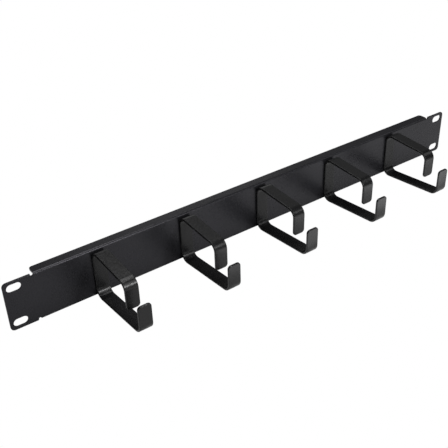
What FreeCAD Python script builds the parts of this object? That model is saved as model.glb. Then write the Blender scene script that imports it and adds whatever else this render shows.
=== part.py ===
import FreeCAD, Part
import math
import os
import Sketcher

# Horizontal cable manager, one rack unit high, for a 19-inch rack.
#
# A folded sheet panel carries five open rings. The panel is one blank: a flat
# face with an ear at each end, two slots in each ear, and a flange folded
# backwards along its top and bottom edges. Each ring is one flat strip bent in
# four places: a back leg that lies flat on the panel and is spot-welded to it,
# a bottom leg that runs forward to a turned-up tab, and a top leg that runs
# forward to a turned-down leg. Cables go in between that leg and the tab.
#
# Axes: X along the panel, -Y out of the front, +Z up.
# Origin: centre of the slot pattern, on the back face of the ears.
# All lengths in millimetres, angles in degrees.

doc = FreeCAD.newDocument("CableManager")
V = FreeCAD.Vector

# ---------------------------------------------------------------- parameters
PARAMS = [
    # alias, value, what it is
    ("panel_length", "482.6", "overall length of the panel, ear to ear"),
    ("panel_height", "43.6", "overall height of the panel"),
    ("sheet", "1.5", "thickness of the panel's sheet"),
    ("panel_bend", "2.0", "outside radius of the panel's folds"),
    ("flange_depth", "9.5", "front face to the flanges' free edge"),
    ("flange_end", "216.2", "middle of the panel to a flange's end"),
    ("flange_corner", "2.5", "corner radius at a flange's free ends"),
    ("relief_width", "2.7", "width of the relief notch between flange and ear"),
    ("relief_depth", "2.2", "depth of the relief notch"),
    ("ear_corner", "3.5", "corner radius of the ears"),
    ("slot_x", "465.1", "distance between the slots' centres along the panel"),
    ("slot_z", "31.75", "distance between the slots' centres in height"),
    ("slot_length", "11.8", "end-to-end length of a slot"),
    ("slot_width", "6.8", "width of a slot"),
    ("coat_edge", "0.6", "rounding of the rings' coated edges"),
    ("sheet_edge", "0.3", "rounding of the ears' and slots' coated edges"),
    ("ring_pitch", "81.45", "distance from ring to ring"),
    ("strip_width", "11.8", "width of the rings' strip"),
    ("strip", "2.0", "thickness of the rings' strip"),
    ("bend_out", "8.0", "outside radius of the rings' bends"),
    ("front_reach", "51.8", "panel's front face to the outside of the front leg"),
    ("tab_reach", "69.0", "panel's front face to the outside of the tab"),
    ("back_crest", "21.7", "height of the strip's outside over its back bends, both ways from the middle"),
    ("top_front_crest", "19.2", "height of the strip's outside over the front leg's bend"),
    ("tab_crest", "18.0", "depth of the strip's outside under the tab's bend"),
    ("leg_end", "5.5", "how far the front leg ends below the middle"),
    ("tab_end", "7.9", "how far the tab ends above the middle"),
    ("strip_corner", "3.0", "corner radius of the strip's two ends"),
]
sheet = doc.addObject("Spreadsheet::Sheet", "Params")
for row, (alias, value, note) in enumerate(PARAMS, start=1):
    sheet.set("A%d" % row, note)
    sheet.set("B%d" % row, value)
    sheet.setAlias("B%d" % row, alias)
doc.recompute()
P = {alias: float(value) for alias, value, _ in PARAMS}


def plane(body, role):
    for f in body.Origin.OriginFeatures:
        if f.Role == role:
            return f
    raise RuntimeError("no origin plane " + role)


def new_body(name):
    body = doc.addObject("PartDesign::Body", name)
    body.Label = name
    return body


def new_sketch(body, name, role):
    sk = body.newObject("Sketcher::SketchObject", name)
    sk.AttachmentSupport = [(plane(body, role), "")]
    sk.MapMode = "FlatFace"
    return sk


def dim(sk, expression, kind, *args):
    """Adds a dimension and ties it to the parameters."""
    i = sk.addConstraint(Sketcher.Constraint(kind, *args))
    sk.setExpression("Constraints[%d]" % i, expression)
    return i


def tie(sk, kind, *args):
    return sk.addConstraint(Sketcher.Constraint(kind, *args))


def joined(sk, first, n):
    """Joins n elements, added one after another from index first, into a closed
    loop: smoothly where an arc meets a line, at a corner elsewhere."""
    def ends(i):
        g = sk.Geometry[i]
        return {1: g.StartPoint, 2: g.EndPoint}
    for k in range(n):
        a, b = first + k, first + (k + 1) % n
        pa, pb = min(((p, q) for p in (1, 2) for q in (1, 2)),
                     key=lambda pq: ends(a)[pq[0]].distanceToPoint(ends(b)[pq[1]]))
        arcs = [isinstance(sk.Geometry[i], Part.ArcOfCircle) for i in (a, b)]
        tie(sk, "Tangent" if any(arcs) else "Coincident", a, pa, b, pb)


def line(sk, a, b):
    return sk.addGeometry(Part.LineSegment(V(a[0], a[1], 0), V(b[0], b[1], 0)), False)


def arc(sk, centre, radius, a0, a1):
    """Arc from angle a0 anticlockwise to a1, in radians."""
    circle = Part.Circle(V(centre[0], centre[1], 0), V(0, 0, 1), radius)
    return sk.addGeometry(Part.ArcOfCircle(circle, a0, a1), False)


PI = 3.141592653589793

# --------------------------------------------------------------------- panel
panel = new_body("panel")

# the folded stretch: a channel section, run along the panel
s, r, h = P["sheet"], P["panel_bend"], P["panel_height"] / 2
ye = P["flange_depth"] - s
sk = new_sketch(panel, "channel_section", "YZ_Plane")
line(sk, (-s, -(h - r)), (-s, h - r))                       # 0 front face
arc(sk, (r - s, h - r), r, PI / 2, PI)                      # 1 top fold, outside
line(sk, (r - s, h), (ye, h))                               # 2 top flange, outside
line(sk, (ye, h), (ye, h - s))                              # 3 its free edge
line(sk, (ye, h - s), (r - s, h - s))                       # 4 top flange, inside
arc(sk, (r - s, h - r), r - s, PI / 2, PI)                  # 5 top fold, inside
line(sk, (0, h - r), (0, -(h - r)))                         # 6 back face
arc(sk, (r - s, -(h - r)), r - s, PI, 1.5 * PI)             # 7 bottom fold, inside
line(sk, (r - s, -(h - s)), (ye, -(h - s)))                 # 8 bottom flange, inside
line(sk, (ye, -(h - s)), (ye, -h))                          # 9 its free edge
line(sk, (ye, -h), (r - s, -h))                             # 10 bottom flange, outside
arc(sk, (r - s, -(h - r)), r, PI, 1.5 * PI)                 # 11 bottom fold, outside
joined(sk, 0, 12)
for i in (0, 3, 6, 9):
    tie(sk, "Vertical", i)
for i in (2, 4, 8, 10):
    tie(sk, "Horizontal", i)
tie(sk, "Coincident", 1, 3, 5, 3)
tie(sk, "Coincident", 7, 3, 11, 3)
dim(sk, "Params.sheet", "DistanceX", 0, 1, -1, 1, s)
tie(sk, "PointOnObject", 6, 1, -2)
dim(sk, "Params.panel_bend", "Radius", 1, r)
dim(sk, "Params.panel_bend", "Radius", 11, r)
dim(sk, "Params.panel_height / 2", "DistanceY", -1, 1, 2, 2, h)
dim(sk, "Params.panel_height / 2", "DistanceY", 10, 1, -1, 1, h)
dim(sk, "Params.flange_depth - Params.sheet", "DistanceX", -1, 1, 3, 1, ye)
dim(sk, "Params.flange_depth - Params.sheet", "DistanceX", -1, 1, 9, 1, ye)
channel = panel.newObject("PartDesign::Pad", "channel")
channel.Profile = sk
channel.Midplane = True
channel.Length = 2 * P["flange_end"]
channel.setExpression("Length", "2 * Params.flange_end")
doc.recompute()


def rectangle(sk, x0, z0, x1, z1):
    """Adds a rectangle; returns the index of its first side (bottom, right, top, left)."""
    n = line(sk, (x0, z0), (x1, z0))
    line(sk, (x1, z0), (x1, z1))
    line(sk, (x1, z1), (x0, z1))
    line(sk, (x0, z1), (x0, z0))
    joined(sk, n, 4)
    tie(sk, "Horizontal", n)
    tie(sk, "Vertical", n + 1)
    tie(sk, "Horizontal", n + 2)
    tie(sk, "Vertical", n + 3)
    return n


# the two flat ears, in the plane of the front face
x0, x1 = P["flange_end"], P["panel_length"] / 2
sk = new_sketch(panel, "ear_outline", "XZ_Plane")
n = rectangle(sk, x0, -h, x1, h)
dim(sk, "Params.flange_end", "DistanceX", -1, 1, n, 1, x0)
dim(sk, "Params.panel_length / 2", "DistanceX", -1, 1, n, 2, x1)
dim(sk, "Params.panel_height / 2", "DistanceY", n, 1, -1, 1, h)
dim(sk, "Params.panel_height / 2", "DistanceY", -1, 1, n + 2, 1, h)
n = rectangle(sk, -x1, -h, -x0, h)
dim(sk, "Params.flange_end", "DistanceX", n, 2, -1, 1, x0)
dim(sk, "Params.panel_length / 2", "DistanceX", n, 1, -1, 1, x1)
dim(sk, "Params.panel_height / 2", "DistanceY", n, 1, -1, 1, h)
dim(sk, "Params.panel_height / 2", "DistanceY", -1, 1, n + 2, 1, h)
ears = panel.newObject("PartDesign::Pad", "ears")
ears.Profile = sk
ears.Length = s
ears.setExpression("Length", "Params.sheet")
doc.recompute()
if ears.Shape.BoundBox.YMin > -s + 1e-6 or abs(ears.Shape.BoundBox.YMax - ye) > 1e-6:
    ears.Reversed = True
    doc.recompute()
box = ears.Shape.BoundBox
assert abs(box.YMin + s) < 1e-6 and abs(box.YMax - ye) < 1e-6, box


def pocket(body, sk, name):
    """Cuts a sketch through the whole body, both ways."""
    before = body.Shape.Volume
    cut = body.newObject("PartDesign::Pocket", name)
    cut.Profile = sk
    cut.Type = 1
    cut.Midplane = True
    doc.recompute()
    if body.Shape.Volume > before - 1:
        raise RuntimeError(name + " cut nothing")
    print(name, "removed", round(before - body.Shape.Volume, 2), "mm3")
    return cut


# relief notches between the flanges and the ears: round-bottomed, open at the edge
w, d, over = P["relief_width"], P["relief_depth"], 2.0
sk = new_sketch(panel, "relief_notches", "XZ_Plane")
for sx in (-1, 1):
    for sz in (-1, 1):
        xa, xb = sorted((sx * x0, sx * (x0 + w)))
        zc = h - d + w / 2
        if sz > 0:
            n = line(sk, (xb, zc), (xb, h + over))
            line(sk, (xb, h + over), (xa, h + over))
            line(sk, (xa, h + over), (xa, zc))
            arc(sk, ((xa + xb) / 2, zc), w / 2, PI, 2 * PI)
        else:
            n = line(sk, (xa, -zc), (xa, -h - over))
            line(sk, (xa, -h - over), (xb, -h - over))
            line(sk, (xb, -h - over), (xb, -zc))
            arc(sk, ((xa + xb) / 2, -zc), w / 2, 0, PI)
        joined(sk, n, 4)
        tie(sk, "Vertical", n)
        tie(sk, "Horizontal", n + 1)
        tie(sk, "Vertical", n + 2)
        dim(sk, "Params.relief_width / 2", "Radius", n + 3, w / 2)
        if sx > 0:
            dim(sk, "Params.flange_end + Params.relief_width / 2", "DistanceX", -1, 1, n + 3, 3, x0 + w / 2)
        else:
            dim(sk, "Params.flange_end + Params.relief_width / 2", "DistanceX", n + 3, 3, -1, 1, x0 + w / 2)
        depth = "Params.panel_height / 2 - Params.relief_depth + Params.relief_width / 2"
        if sz > 0:
            dim(sk, depth, "DistanceY", -1, 1, n + 3, 3, zc)
            dim(sk, "Params.panel_height / 2 + 2", "DistanceY", -1, 1, n + 1, 1, h + over)
        else:
            dim(sk, depth, "DistanceY", n + 3, 3, -1, 1, zc)
            dim(sk, "Params.panel_height / 2 + 2", "DistanceY", n + 1, 1, -1, 1, h + over)
pocket(panel, sk, "reliefs")

# the four rack slots
rs, half = P["slot_width"] / 2, (P["slot_length"] - P["slot_width"]) / 2
sk = new_sketch(panel, "rack_slots", "XZ_Plane")
for sx in (-1, 1):
    for sz in (-1, 1):
        cx, cz = sx * P["slot_x"] / 2, sz * P["slot_z"] / 2
        n = line(sk, (cx - half, cz - rs), (cx + half, cz - rs))
        arc(sk, (cx + half, cz), rs, -PI / 2, PI / 2)
        line(sk, (cx + half, cz + rs), (cx - half, cz + rs))
        arc(sk, (cx - half, cz), rs, PI / 2, 1.5 * PI)
        joined(sk, n, 4)
        tie(sk, "Horizontal", n)
        tie(sk, "Horizontal", n + 2)
        dim(sk, "Params.slot_width / 2", "Radius", n + 1, rs)
        inner = "(Params.slot_x - Params.slot_length + Params.slot_width) / 2"
        outer = "(Params.slot_x + Params.slot_length - Params.slot_width) / 2"
        near, far = (n + 3, n + 1) if sx > 0 else (n + 1, n + 3)
        for g, expr, value in ((near, inner, P["slot_x"] / 2 - half), (far, outer, P["slot_x"] / 2 + half)):
            if sx > 0:
                dim(sk, expr, "DistanceX", -1, 1, g, 3, value)
            else:
                dim(sk, expr, "DistanceX", g, 3, -1, 1, value)
        if sz > 0:
            dim(sk, "Params.slot_z / 2", "DistanceY", -1, 1, n + 1, 3, cz)
        else:
            dim(sk, "Params.slot_z / 2", "DistanceY", n + 1, 3, -1, 1, -cz)
pocket(panel, sk, "slots")


def edges_where(shape, test):
    return ["Edge%d" % (i + 1) for i, e in enumerate(shape.Edges) if test(e)]


def straight_along(e, axis, length):
    b = e.BoundBox
    size = {"x": b.XLength, "y": b.YLength, "z": b.ZLength}
    return abs(size[axis] - length) < 1e-4 and all(v < 1e-4 for k, v in size.items() if k != axis)


def fillet(body, name, test, radius, expression, expected):
    names = edges_where(body.Shape, test)
    if len(names) != expected:
        raise RuntimeError("%s: %d edges" % (name, len(names)))
    f = body.newObject("PartDesign::Fillet", name)
    f.Base = (body.Tip if body.Tip != f else f.BaseFeature, names)
    f.Radius = radius
    f.setExpression("Radius", expression)
    doc.recompute()
    return f


fillet(panel, "ear_corners",
       lambda e: straight_along(e, "y", s) and abs(abs(e.CenterOfMass.x) - x1) < 1e-4 and abs(abs(e.CenterOfMass.z) - h) < 1e-4,
       P["ear_corner"], "Params.ear_corner", 4)
fillet(panel, "flange_corners",
       lambda e: straight_along(e, "z", s) and abs(abs(e.CenterOfMass.x) - x0) < 1e-4 and abs(e.CenterOfMass.y - ye) < 1e-4,
       P["flange_corner"], "Params.flange_corner", 4)


def flat_at(e, axis, value):
    b = e.BoundBox
    lo, hi = {"y": (b.YMin, b.YMax), "z": (b.ZMin, b.ZMax)}[axis]
    return abs(lo - value) < 1e-4 and abs(hi - value) < 1e-4


# the coated edges: the ears' outlines and the slots' rims, on both sides
fillet(panel, "ear_edges",
       lambda e: abs(e.CenterOfMass.x) > x0 + w + 0.01 and (flat_at(e, "y", -s) or flat_at(e, "y", 0)),
       P["sheet_edge"], "Params.sheet_edge", 52)

# --------------------------------------------------------------------- rings
# The strip's side view, in a plane across the panel: outside path from the
# tab's end under the bottom leg, up the back leg, forward along the top leg and
# down to the front leg's end, then back along the inside. The four bends share
# one outside and one inside radius, each pair about one centre.
def tangent_angle(a, b):
    """Direction square to the line of centres a to b, on its left."""
    return math.atan2(b[1] - a[1], b[0] - a[0]) + PI / 2


def ring_profile(sk):
    t, ro = P["strip"], P["bend_out"]
    ri = ro - t
    face = -P["sheet"]                       # the panel's front face
    yt = face - P["tab_reach"]               # outside of the tab
    yf = face - P["front_reach"]             # outside of the front leg
    zb = P["back_crest"] - ro                # centre height of the back bends
    c1 = (yt + ro, -(P["tab_crest"] - ro))   # tab bend
    c2 = (face - ro, -zb)                    # lower back bend
    c3 = (face - ro, zb)                     # upper back bend
    c4 = (yf + ro, P["top_front_crest"] - ro)  # front leg bend
    low = tangent_angle(c2, c1)              # outward from the bottom leg (downwards)
    high = tangent_angle(c4, c3)             # outward from the top leg (upwards)

    def on(c, r, a):
        return (c[0] + r * math.cos(a), c[1] + r * math.sin(a))
    low = low if math.sin(low) < 0 else low + PI
    high = high if math.sin(high) > 0 else high + PI
    zt, zl = P["tab_end"], -P["leg_end"]
    g = {}
    g["tab_out"] = line(sk, (yt, zt), (yt, c1[1]))
    g["bend1_out"] = arc(sk, c1, ro, PI, low % (2 * PI))
    g["bottom_out"] = line(sk, on(c1, ro, low), on(c2, ro, low))
    g["bend2_out"] = arc(sk, c2, ro, low % (2 * PI), 2 * PI)
    g["back_out"] = line(sk, (face, c2[1]), (face, c3[1]))
    g["bend3_out"] = arc(sk, c3, ro, 0, high)
    g["top_out"] = line(sk, on(c3, ro, high), on(c4, ro, high))
    g["bend4_out"] = arc(sk, c4, ro, high, PI)
    g["leg_out"] = line(sk, (yf, c4[1]), (yf, zl))
    g["leg_end"] = line(sk, (yf, zl), (yf + t, zl))
    g["leg_in"] = line(sk, (yf + t, zl), (yf + t, c4[1]))
    g["bend4_in"] = arc(sk, c4, ri, high, PI)
    g["top_in"] = line(sk, on(c4, ri, high), on(c3, ri, high))
    g["bend3_in"] = arc(sk, c3, ri, 0, high)
    g["back_in"] = line(sk, (face - t, c3[1]), (face - t, c2[1]))
    g["bend2_in"] = arc(sk, c2, ri, low % (2 * PI), 2 * PI)
    g["bottom_in"] = line(sk, on(c2, ri, low), on(c1, ri, low))
    g["bend1_in"] = arc(sk, c1, ri, PI, low % (2 * PI))
    g["tab_in"] = line(sk, (yt + t, c1[1]), (yt + t, zt))
    g["tab_end"] = line(sk, (yt + t, zt), (yt, zt))
    joined(sk, 0, 20)
    for name in ("tab_out", "back_out", "leg_out", "leg_in", "back_in", "tab_in"):
        tie(sk, "Vertical", g[name])
    for name in ("leg_end", "tab_end"):
        tie(sk, "Horizontal", g[name])
    for k in "1234":
        tie(sk, "Coincident", g["bend%s_out" % k], 3, g["bend%s_in" % k], 3)
        dim(sk, "Params.bend_out", "Radius", g["bend%s_out" % k], ro)
    dim(sk, "Params.bend_out - Params.strip", "Radius", g["bend1_in"], ri)
    dim(sk, "Params.bend_out - Params.strip", "Radius", g["bend2_in"], ri)
    dim(sk, "Params.bend_out - Params.strip", "Radius", g["bend4_in"], ri)
    dim(sk, "Params.sheet", "DistanceX", g["back_out"], 1, -1, 1, -face)
    dim(sk, "Params.sheet + Params.tab_reach", "DistanceX", g["tab_out"], 1, -1, 1, -yt)
    dim(sk, "Params.sheet + Params.front_reach", "DistanceX", g["leg_out"], 1, -1, 1, -yf)
    dim(sk, "Params.back_crest - Params.bend_out", "DistanceY", g["bend2_out"], 3, -1, 1, zb)
    dim(sk, "Params.back_crest - Params.bend_out", "DistanceY", -1, 1, g["bend3_out"], 3, zb)
    dim(sk, "Params.tab_crest - Params.bend_out", "DistanceY", g["bend1_out"], 3, -1, 1, -c1[1])
    dim(sk, "Params.top_front_crest - Params.bend_out", "DistanceY", -1, 1, g["bend4_out"], 3, c4[1])
    dim(sk, "Params.tab_end", "DistanceY", -1, 1, g["tab_out"], 1, zt)
    dim(sk, "Params.leg_end", "DistanceY", g["leg_out"], 2, -1, 1, -zl)


rings = []
for k in range(1, 6):
    ring = new_body("ring_%d" % k)
    sk = new_sketch(ring, "strip_profile_%d" % k, "YZ_Plane")
    ring_profile(sk)
    pad = ring.newObject("PartDesign::Pad", "strip_%d" % k)
    pad.Profile = sk
    pad.Midplane = True
    pad.Length = P["strip_width"]
    pad.setExpression("Length", "Params.strip_width")
    doc.recompute()
    wide = P["strip_width"] / 2
    tips = (P["tab_end"], -P["leg_end"])
    fillet(ring, "strip_ends_%d" % k,
           lambda e: straight_along(e, "y", P["strip"]) and abs(abs(e.CenterOfMass.x) - wide) < 1e-4
           and min(abs(e.CenterOfMass.z - z) for z in tips) < 1e-4,
           P["strip_corner"], "Params.strip_corner", 4)
    # the coated edges all round both sides of the strip
    sides = [i for i, f in enumerate(ring.Shape.Faces)
             if abs(f.BoundBox.XLength) < 1e-6 and abs(abs(f.CenterOfMass.x) - wide) < 1e-4]
    if len(sides) != 2:
        raise RuntimeError("ring %d: %d side faces" % (k, len(sides)))
    soft = ring.newObject("PartDesign::Fillet", "coated_edges_%d" % k)
    soft.Base = (soft.BaseFeature, ["Face%d" % (i + 1) for i in sides])
    soft.Radius = P["coat_edge"]
    soft.setExpression("Radius", "Params.coat_edge")
    ring.setExpression("Placement.Base.x", "%d * Params.ring_pitch" % (k - 3))
    doc.recompute()
    rings.append(ring)

# ------------------------------------------------------------ checks, export
doc.recompute()
bad = []
for o in doc.Objects:
    if any(st in ("Invalid", "Error") for st in o.State):
        bad.append(o.Name)
    if o.TypeId == "Sketcher::SketchObject":
        freedoms = o.solve()
        if freedoms != 0 or o.ConflictingConstraints or o.RedundantConstraints:
            bad.append("%s: solve %s, conflicting %s, redundant %s" % (
                o.Name, freedoms, o.ConflictingConstraints, o.RedundantConstraints))
        if not o.FullyConstrained:
            bad.append(o.Name + " is not fully constrained")
if bad:
    raise RuntimeError("features with errors: %s" % bad)
os.makedirs("parts", exist_ok=True)
for body in [panel] + rings:
    shape = body.Shape
    if shape.isNull() or not shape.isValid() or len(shape.Solids) != 1:
        raise RuntimeError("bad shape: " + body.Label)
    b = shape.BoundBox
    print("%-8s volume %9.1f mm3  x %.2f..%.2f  y %.2f..%.2f  z %.2f..%.2f  faces %d" % (
        body.Label, shape.Volume, b.XMin, b.XMax, b.YMin, b.YMax, b.ZMin, b.ZMax, len(shape.Faces)))
    shape.exportStep("parts/%s.step" % body.Label)
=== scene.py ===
import math

import bpy
from mathutils import Matrix, Vector


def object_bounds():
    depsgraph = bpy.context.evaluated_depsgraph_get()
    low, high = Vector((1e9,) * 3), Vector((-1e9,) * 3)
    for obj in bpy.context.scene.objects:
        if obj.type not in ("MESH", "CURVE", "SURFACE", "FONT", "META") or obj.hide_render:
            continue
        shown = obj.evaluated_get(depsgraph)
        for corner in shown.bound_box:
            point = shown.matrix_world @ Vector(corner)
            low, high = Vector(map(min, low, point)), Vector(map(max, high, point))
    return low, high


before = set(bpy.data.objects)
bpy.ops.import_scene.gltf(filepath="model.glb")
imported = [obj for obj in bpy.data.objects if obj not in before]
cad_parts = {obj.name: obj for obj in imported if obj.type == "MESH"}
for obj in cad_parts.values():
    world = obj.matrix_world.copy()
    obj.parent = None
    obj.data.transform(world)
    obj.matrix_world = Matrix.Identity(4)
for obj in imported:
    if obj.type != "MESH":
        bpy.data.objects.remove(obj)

CAD_BOX = [list(v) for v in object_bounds()]
scene = bpy.context.scene
scene.view_settings.view_transform = "Standard"
scene.view_settings.look = "None"
scene.view_settings.exposure = 0.0
scene.view_settings.gamma = 1.0


# ---------------------------------------------------------------- materials
def shader(name):
    m = bpy.data.materials.new(name)
    m.use_nodes = True
    t = m.node_tree
    t.nodes.clear()
    out = t.nodes.new("ShaderNodeOutputMaterial")
    b = t.nodes.new("ShaderNodeBsdfPrincipled")
    t.links.new(b.outputs["BSDF"], out.inputs["Surface"])
    return m, t, b


def noise(t, coord, scale, detail=2.0, rough=0.5, distortion=0.0):
    n = t.nodes.new("ShaderNodeTexNoise")
    n.inputs["Scale"].default_value = scale
    n.inputs["Detail"].default_value = detail
    n.inputs["Roughness"].default_value = rough
    n.inputs["Distortion"].default_value = distortion
    t.links.new(coord, n.inputs["Vector"])
    return n.outputs["Fac"]


def spread(t, value, low, high, a=0.25, b=0.75):
    n = t.nodes.new("ShaderNodeMapRange")
    n.inputs["From Min"].default_value = a
    n.inputs["From Max"].default_value = b
    n.inputs["To Min"].default_value = low
    n.inputs["To Max"].default_value = high
    t.links.new(value, n.inputs["Value"])
    return n.outputs["Result"]


def ramp(t, value, stops):
    n = t.nodes.new("ShaderNodeValToRGB")
    e = n.color_ramp.elements
    while len(e) < len(stops):
        e.new(0.5)
    for k, (p, c) in enumerate(stops):
        e[k].position = p
        e[k].color = (*c, 1.0)
    t.links.new(value, n.inputs["Fac"])
    return n.outputs["Color"]


def math_node(t, op, a, b):
    n = t.nodes.new("ShaderNodeMath")
    n.operation = op
    for k, v in enumerate((a, b)):
        if isinstance(v, (int, float)):
            n.inputs[k].default_value = v
        else:
            t.links.new(v, n.inputs[k])
    return n.outputs[0]


def bump(t, height, strength, distance, normal=None):
    n = t.nodes.new("ShaderNodeBump")
    n.inputs["Strength"].default_value = strength
    n.inputs["Distance"].default_value = distance
    t.links.new(height, n.inputs["Height"])
    if normal is not None:
        t.links.new(normal, n.inputs["Normal"])
    return n.outputs["Normal"]


def powder_coat(name, dark, light, rough_low, rough_high, ior):
    """Black satin powder coat: cloudy tone, fine grain and a soft orange peel."""
    m, t, b = shader(name)
    co = t.nodes.new("ShaderNodeTexCoord").outputs["Object"]
    clouds = noise(t, co, 22.0, 3.0, 0.55)
    grain = noise(t, co, 2600.0, 2.0, 0.6)
    peel = noise(t, co, 420.0, 2.0, 0.45)
    tone = math_node(t, "ADD", math_node(t, "MULTIPLY", clouds, 0.7), math_node(t, "MULTIPLY", grain, 0.3))
    t.links.new(ramp(t, tone, [(0.3, dark), (0.7, light)]), b.inputs["Base Color"])
    r = math_node(t, "ADD", math_node(t, "MULTIPLY", clouds, 0.6), math_node(t, "MULTIPLY", peel, 0.4))
    t.links.new(spread(t, r, rough_low, rough_high), b.inputs["Roughness"])
    n = bump(t, peel, 0.16, 0.0006)
    n = bump(t, grain, 0.22, 0.00012, n)
    t.links.new(n, b.inputs["Normal"])
    b.inputs["Metallic"].default_value = 0.0
    b.inputs["IOR"].default_value = ior
    return m


panel_coat = powder_coat("panel_powder_coat", (0.0105, 0.0105, 0.0120), (0.0150, 0.0150, 0.0170), 0.25, 0.31, 1.325)
panel_coat.node_tree.nodes["Principled BSDF"].inputs["Specular Tint"].default_value = (0.93, 0.91, 1.0, 1.0)
ring_coat = powder_coat("ring_powder_coat", (0.0060, 0.0060, 0.0063), (0.0090, 0.0090, 0.0094), 0.23, 0.29, 1.34)

for name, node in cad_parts.items():
    coat = panel_coat if name == "panel" else ring_coat
    node.data.materials.clear()
    node.data.materials.append(coat)

# ---------------------------------------------------------------- camera
lo, hi = Vector(CAD_BOX[0]), Vector(CAD_BOX[1])
# focal length and principal point for a frame 448 wide; turn, as a vector, and
# place, in mm, of the part in the camera's axes, measured from the front face
SIDE = 448.0
FOCAL = 752.0955927036209
CX, CY = 224.0, 224.0
ROT = (2.0385084056850524, -0.6859651730247424, 0.3392570820675791)
T = Vector((33.379222226887855, -17.593901859942402, 674.9537384136187))
FRONT_Y = -1.5


def rodrigues(v):
    a = math.sqrt(sum(x * x for x in v))
    return Matrix.Rotation(a, 3, Vector(v) / a)


R = rodrigues(ROT)
place = -(R.transposed() @ T)
place.y += FRONT_Y
cam_data = bpy.data.cameras.new("studio_camera")
cam = bpy.data.objects.new("studio_camera", cam_data)
scene.collection.objects.link(cam)
cam_data.sensor_width = 36.0
cam_data.lens = FOCAL / SIDE * 36.0
cam_data.shift_x = (SIDE / 2 - CX) / SIDE
cam_data.shift_y = (CY - SIDE / 2) / SIDE
cam_data.clip_start, cam_data.clip_end = 0.01, 50.0
M = Matrix.Identity(4)
for k in range(3):
    M[k][0] = R[0][k]
    M[k][1] = -R[1][k]
    M[k][2] = -R[2][k]
    M[k][3] = place[k] / 1000.0
cam.matrix_world = M
scene.camera = cam

# ---------------------------------------------------------------- floor and light
bpy.ops.mesh.primitive_plane_add(size=12.0, location=(0, 0, lo.z - 0.0004))
floor = bpy.context.object
floor.name = "floor"
fm, ft, fb = shader("pale_floor")
fco = ft.nodes.new("ShaderNodeTexCoord").outputs["Object"]
ft.links.new(ramp(ft, noise(ft, fco, 3.0, 2.0), [(0.3, (0.84, 0.84, 0.84)), (0.7, (0.87, 0.87, 0.87))]), fb.inputs["Base Color"])
fb.inputs["Roughness"].default_value = 0.9
fb.inputs["Specular IOR Level"].default_value = 0.0
# overexposed to plain white where it is seen, and lit as a real floor where the
# coat reflects it
fl = ft.nodes.new("ShaderNodeLightPath")
fe = ft.nodes.new("ShaderNodeEmission")
fe.inputs["Color"].default_value = (1, 1, 1, 1)
fe.inputs["Strength"].default_value = 1.0
fx = ft.nodes.new("ShaderNodeMixShader")
fo = next(n for n in ft.nodes if n.type == "OUTPUT_MATERIAL")
ft.links.new(fl.outputs["Is Camera Ray"], fx.inputs["Fac"])
ft.links.new(fb.outputs["BSDF"], fx.inputs[1])
ft.links.new(fe.outputs["Emission"], fx.inputs[2])
ft.links.new(fx.outputs["Shader"], fo.inputs["Surface"])
floor.data.materials.append(fm)

WORLD_LIGHT = 0.045
world = bpy.data.worlds.new("studio")
scene.world = world
world.use_nodes = True
wt = world.node_tree
wt.nodes.clear()
wo = wt.nodes.new("ShaderNodeOutputWorld")
bg_seen = wt.nodes.new("ShaderNodeBackground")
bg_seen.inputs["Color"].default_value = (1, 1, 1, 1)
bg_seen.inputs["Strength"].default_value = 1.05
bg_light = wt.nodes.new("ShaderNodeBackground")
bg_light.inputs["Color"].default_value = (1, 1, 1, 1)
bg_light.inputs["Strength"].default_value = WORLD_LIGHT
lp = wt.nodes.new("ShaderNodeLightPath")
mix = wt.nodes.new("ShaderNodeMixShader")
wt.links.new(lp.outputs["Is Camera Ray"], mix.inputs["Fac"])
wt.links.new(bg_light.outputs[0], mix.inputs[1])
wt.links.new(bg_seen.outputs[0], mix.inputs[2])
wt.links.new(mix.outputs[0], wo.inputs["Surface"])


def soft_box(name, direction, distance, size_x, size_y, power, aim=(0, -0.02, 0)):
    data = bpy.data.lights.new(name, "AREA")
    data.shape = "RECTANGLE"
    data.size, data.size_y = size_x, size_y
    data.energy = power
    o = bpy.data.objects.new(name, data)
    scene.collection.objects.link(o)
    d = Vector(direction).normalized()
    o.location = Vector(aim) + d * distance
    o.rotation_mode = "QUATERNION"
    o.rotation_quaternion = (-d).to_track_quat("-Z", "Y")
    return o


soft_box("top", (0.0, 0.0, 1.0), 1.3, 0.6, 0.6, 6.69)
soft_box("top_back", (0.1, 0.4, 0.9), 1.3, 0.6, 0.6, 4.57)
soft_box("key", (0.345, -0.8128, 0.4693), 0.8, 0.14, 0.14, 2.30, aim=(-0.163, -0.05, 0.018))
soft_box("front_low", (0.05, -0.96, 0.25), 1.3, 0.6, 0.6, 1.31)
soft_box("floor_front", (0.0, -0.2, 0.5), 0.55, 0.3, 0.3, 0.83, aim=(0.0, -0.28, 0))
soft_box("back_low", (0.4, 0.85, 0.3), 1.3, 0.6, 0.6, 0.64)
soft_box("key_wide", (0.51, -0.66, 0.553), 0.8, 0.3, 0.16, 0.55, aim=(-0.04, -0.05, 0.018))
soft_box("floor_far_right", (0.2, -0.1, 0.5), 0.6, 0.3, 0.3, 0.53, aim=(0.55, -0.2, 0))
soft_box("back_right", (0.6, 0.5, 0.62), 1.3, 0.6, 0.6, 0.24)
soft_box("back", (0.2, 0.75, 0.63), 1.3, 0.6, 0.6, 0.14)

# two soft lamps lying flat on the floor in front of the rings, facing up, out of the
# camera's sight
table_mid = soft_box("table_mid", (0.0, 0.0, -1.0), 0.0, 0.24, 0.13, 0.085, aim=(0, -0.15, lo.z + 0.001))
table_mid.data.shape = "ELLIPSE"
table_mid.visible_camera = False
table_right = soft_box("table_right", (0.0, 0.0, -1.0), 0.0, 0.22, 0.13, 0.11, aim=(0.15, -0.15, lo.z + 0.001))
table_right.data.shape = "ELLIPSE"
table_right.visible_camera = False
